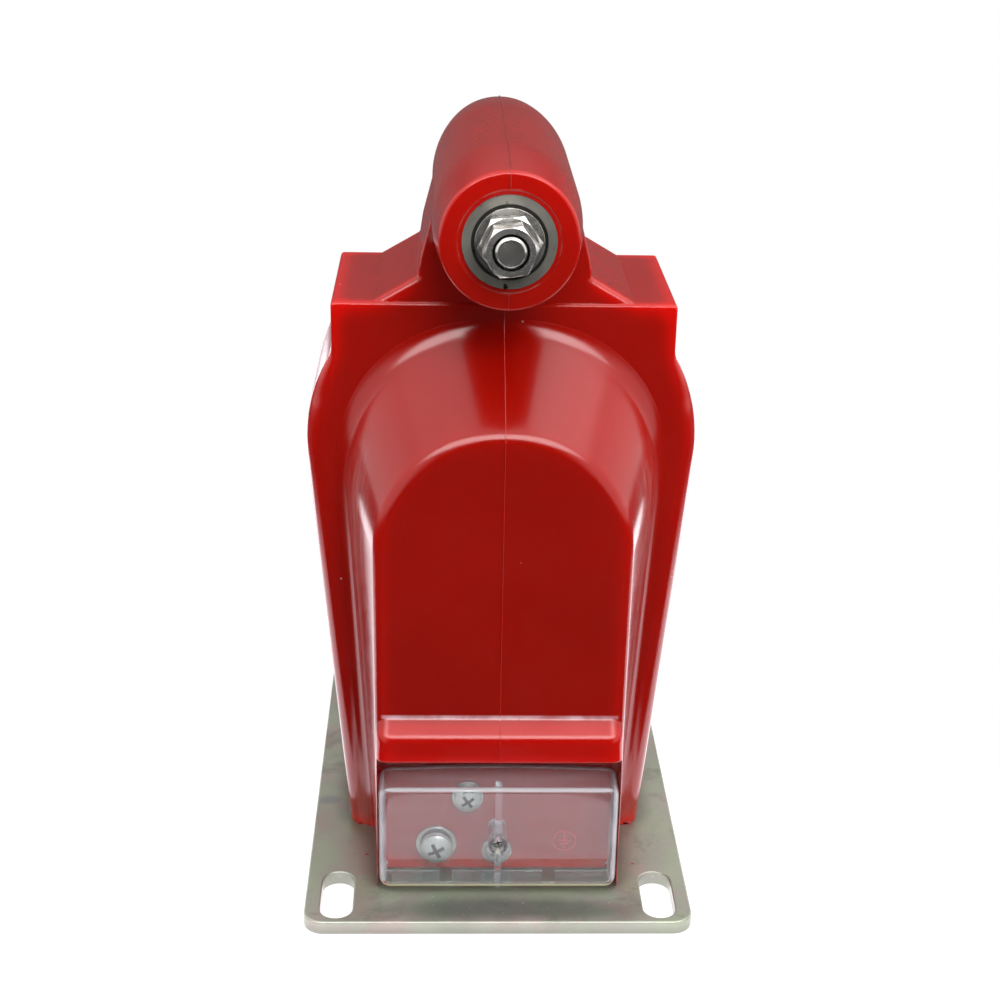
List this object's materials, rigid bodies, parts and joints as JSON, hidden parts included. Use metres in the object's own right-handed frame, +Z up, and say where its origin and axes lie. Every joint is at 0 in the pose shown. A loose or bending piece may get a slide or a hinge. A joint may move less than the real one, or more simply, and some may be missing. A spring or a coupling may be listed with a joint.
{
  "type": "cast resin voltage transformer",
  "caption": "Double-pole cast resin voltage transformer on a slotted steel base plate, with a round high-voltage tube on top and a transparent cover over the low-voltage terminals.",
  "frame": {"origin": "middle of the base plate's underside", "axes": "+Z up, -Y out of the terminal cover at the front, +X to the right seen from the front"},
  "size_m": [0.155, 0.22, 0.3007],
  "materials": {
    "cast_resin": "gloss cast",
    "zinc_plate": "zinc plated",
    "nickel_steel": "nickel plated",
    "steel_fastener": "zinc plated",
    "insert_metal": "dull turned",
    "brass_insert": "turned",
    "clear_plastic": "clear moulded",
    "core_iron": "strip wound",
    "winding_copper": "enamelled wire",
    "pressboard": "pressed board"
  },
  "bodies": {
    "root": {"base_plate": "zinc_plate", "base_screws": "steel_fastener", "base_inserts": "brass_insert", "resin_body": "cast_resin", "iron_core": "core_iron", "winding_tube": "pressboard", "secondary_winding": "winding_copper", "barrier_tube": "pressboard", "primary_winding": "winding_copper", "front_hv_lead": "winding_copper", "rear_hv_lead": "winding_copper", "top_terminal_lead": "winding_copper", "centre_terminal_lead": "winding_copper", "earth_lead": "winding_copper", "front_hv_insert": "insert_metal", "front_hv_stud": "nickel_steel", "front_hv_washer": "nickel_steel", "front_lock_nut": "nickel_steel", "front_hv_nut": "nickel_steel", "rear_hv_insert": "insert_metal", "rear_hv_stud": "nickel_steel", "rear_hv_washer": "nickel_steel", "rear_lock_nut": "nickel_steel", "rear_hv_nut": "nickel_steel", "terminal_cover": "clear_plastic", "cover_screw": "steel_fastener", "cover_insert": "brass_insert", "left_terminal_insert": "brass_insert", "left_terminal_washer": "nickel_steel", "left_spring_washer": "nickel_steel", "left_terminal_screw": "nickel_steel", "top_terminal_insert": "brass_insert", "top_terminal_washer": "nickel_steel", "top_terminal_screw": "nickel_steel", "centre_terminal_insert": "brass_insert", "centre_terminal_washer": "nickel_steel", "centre_terminal_screw": "nickel_steel"}
  },
  "joints": []
}
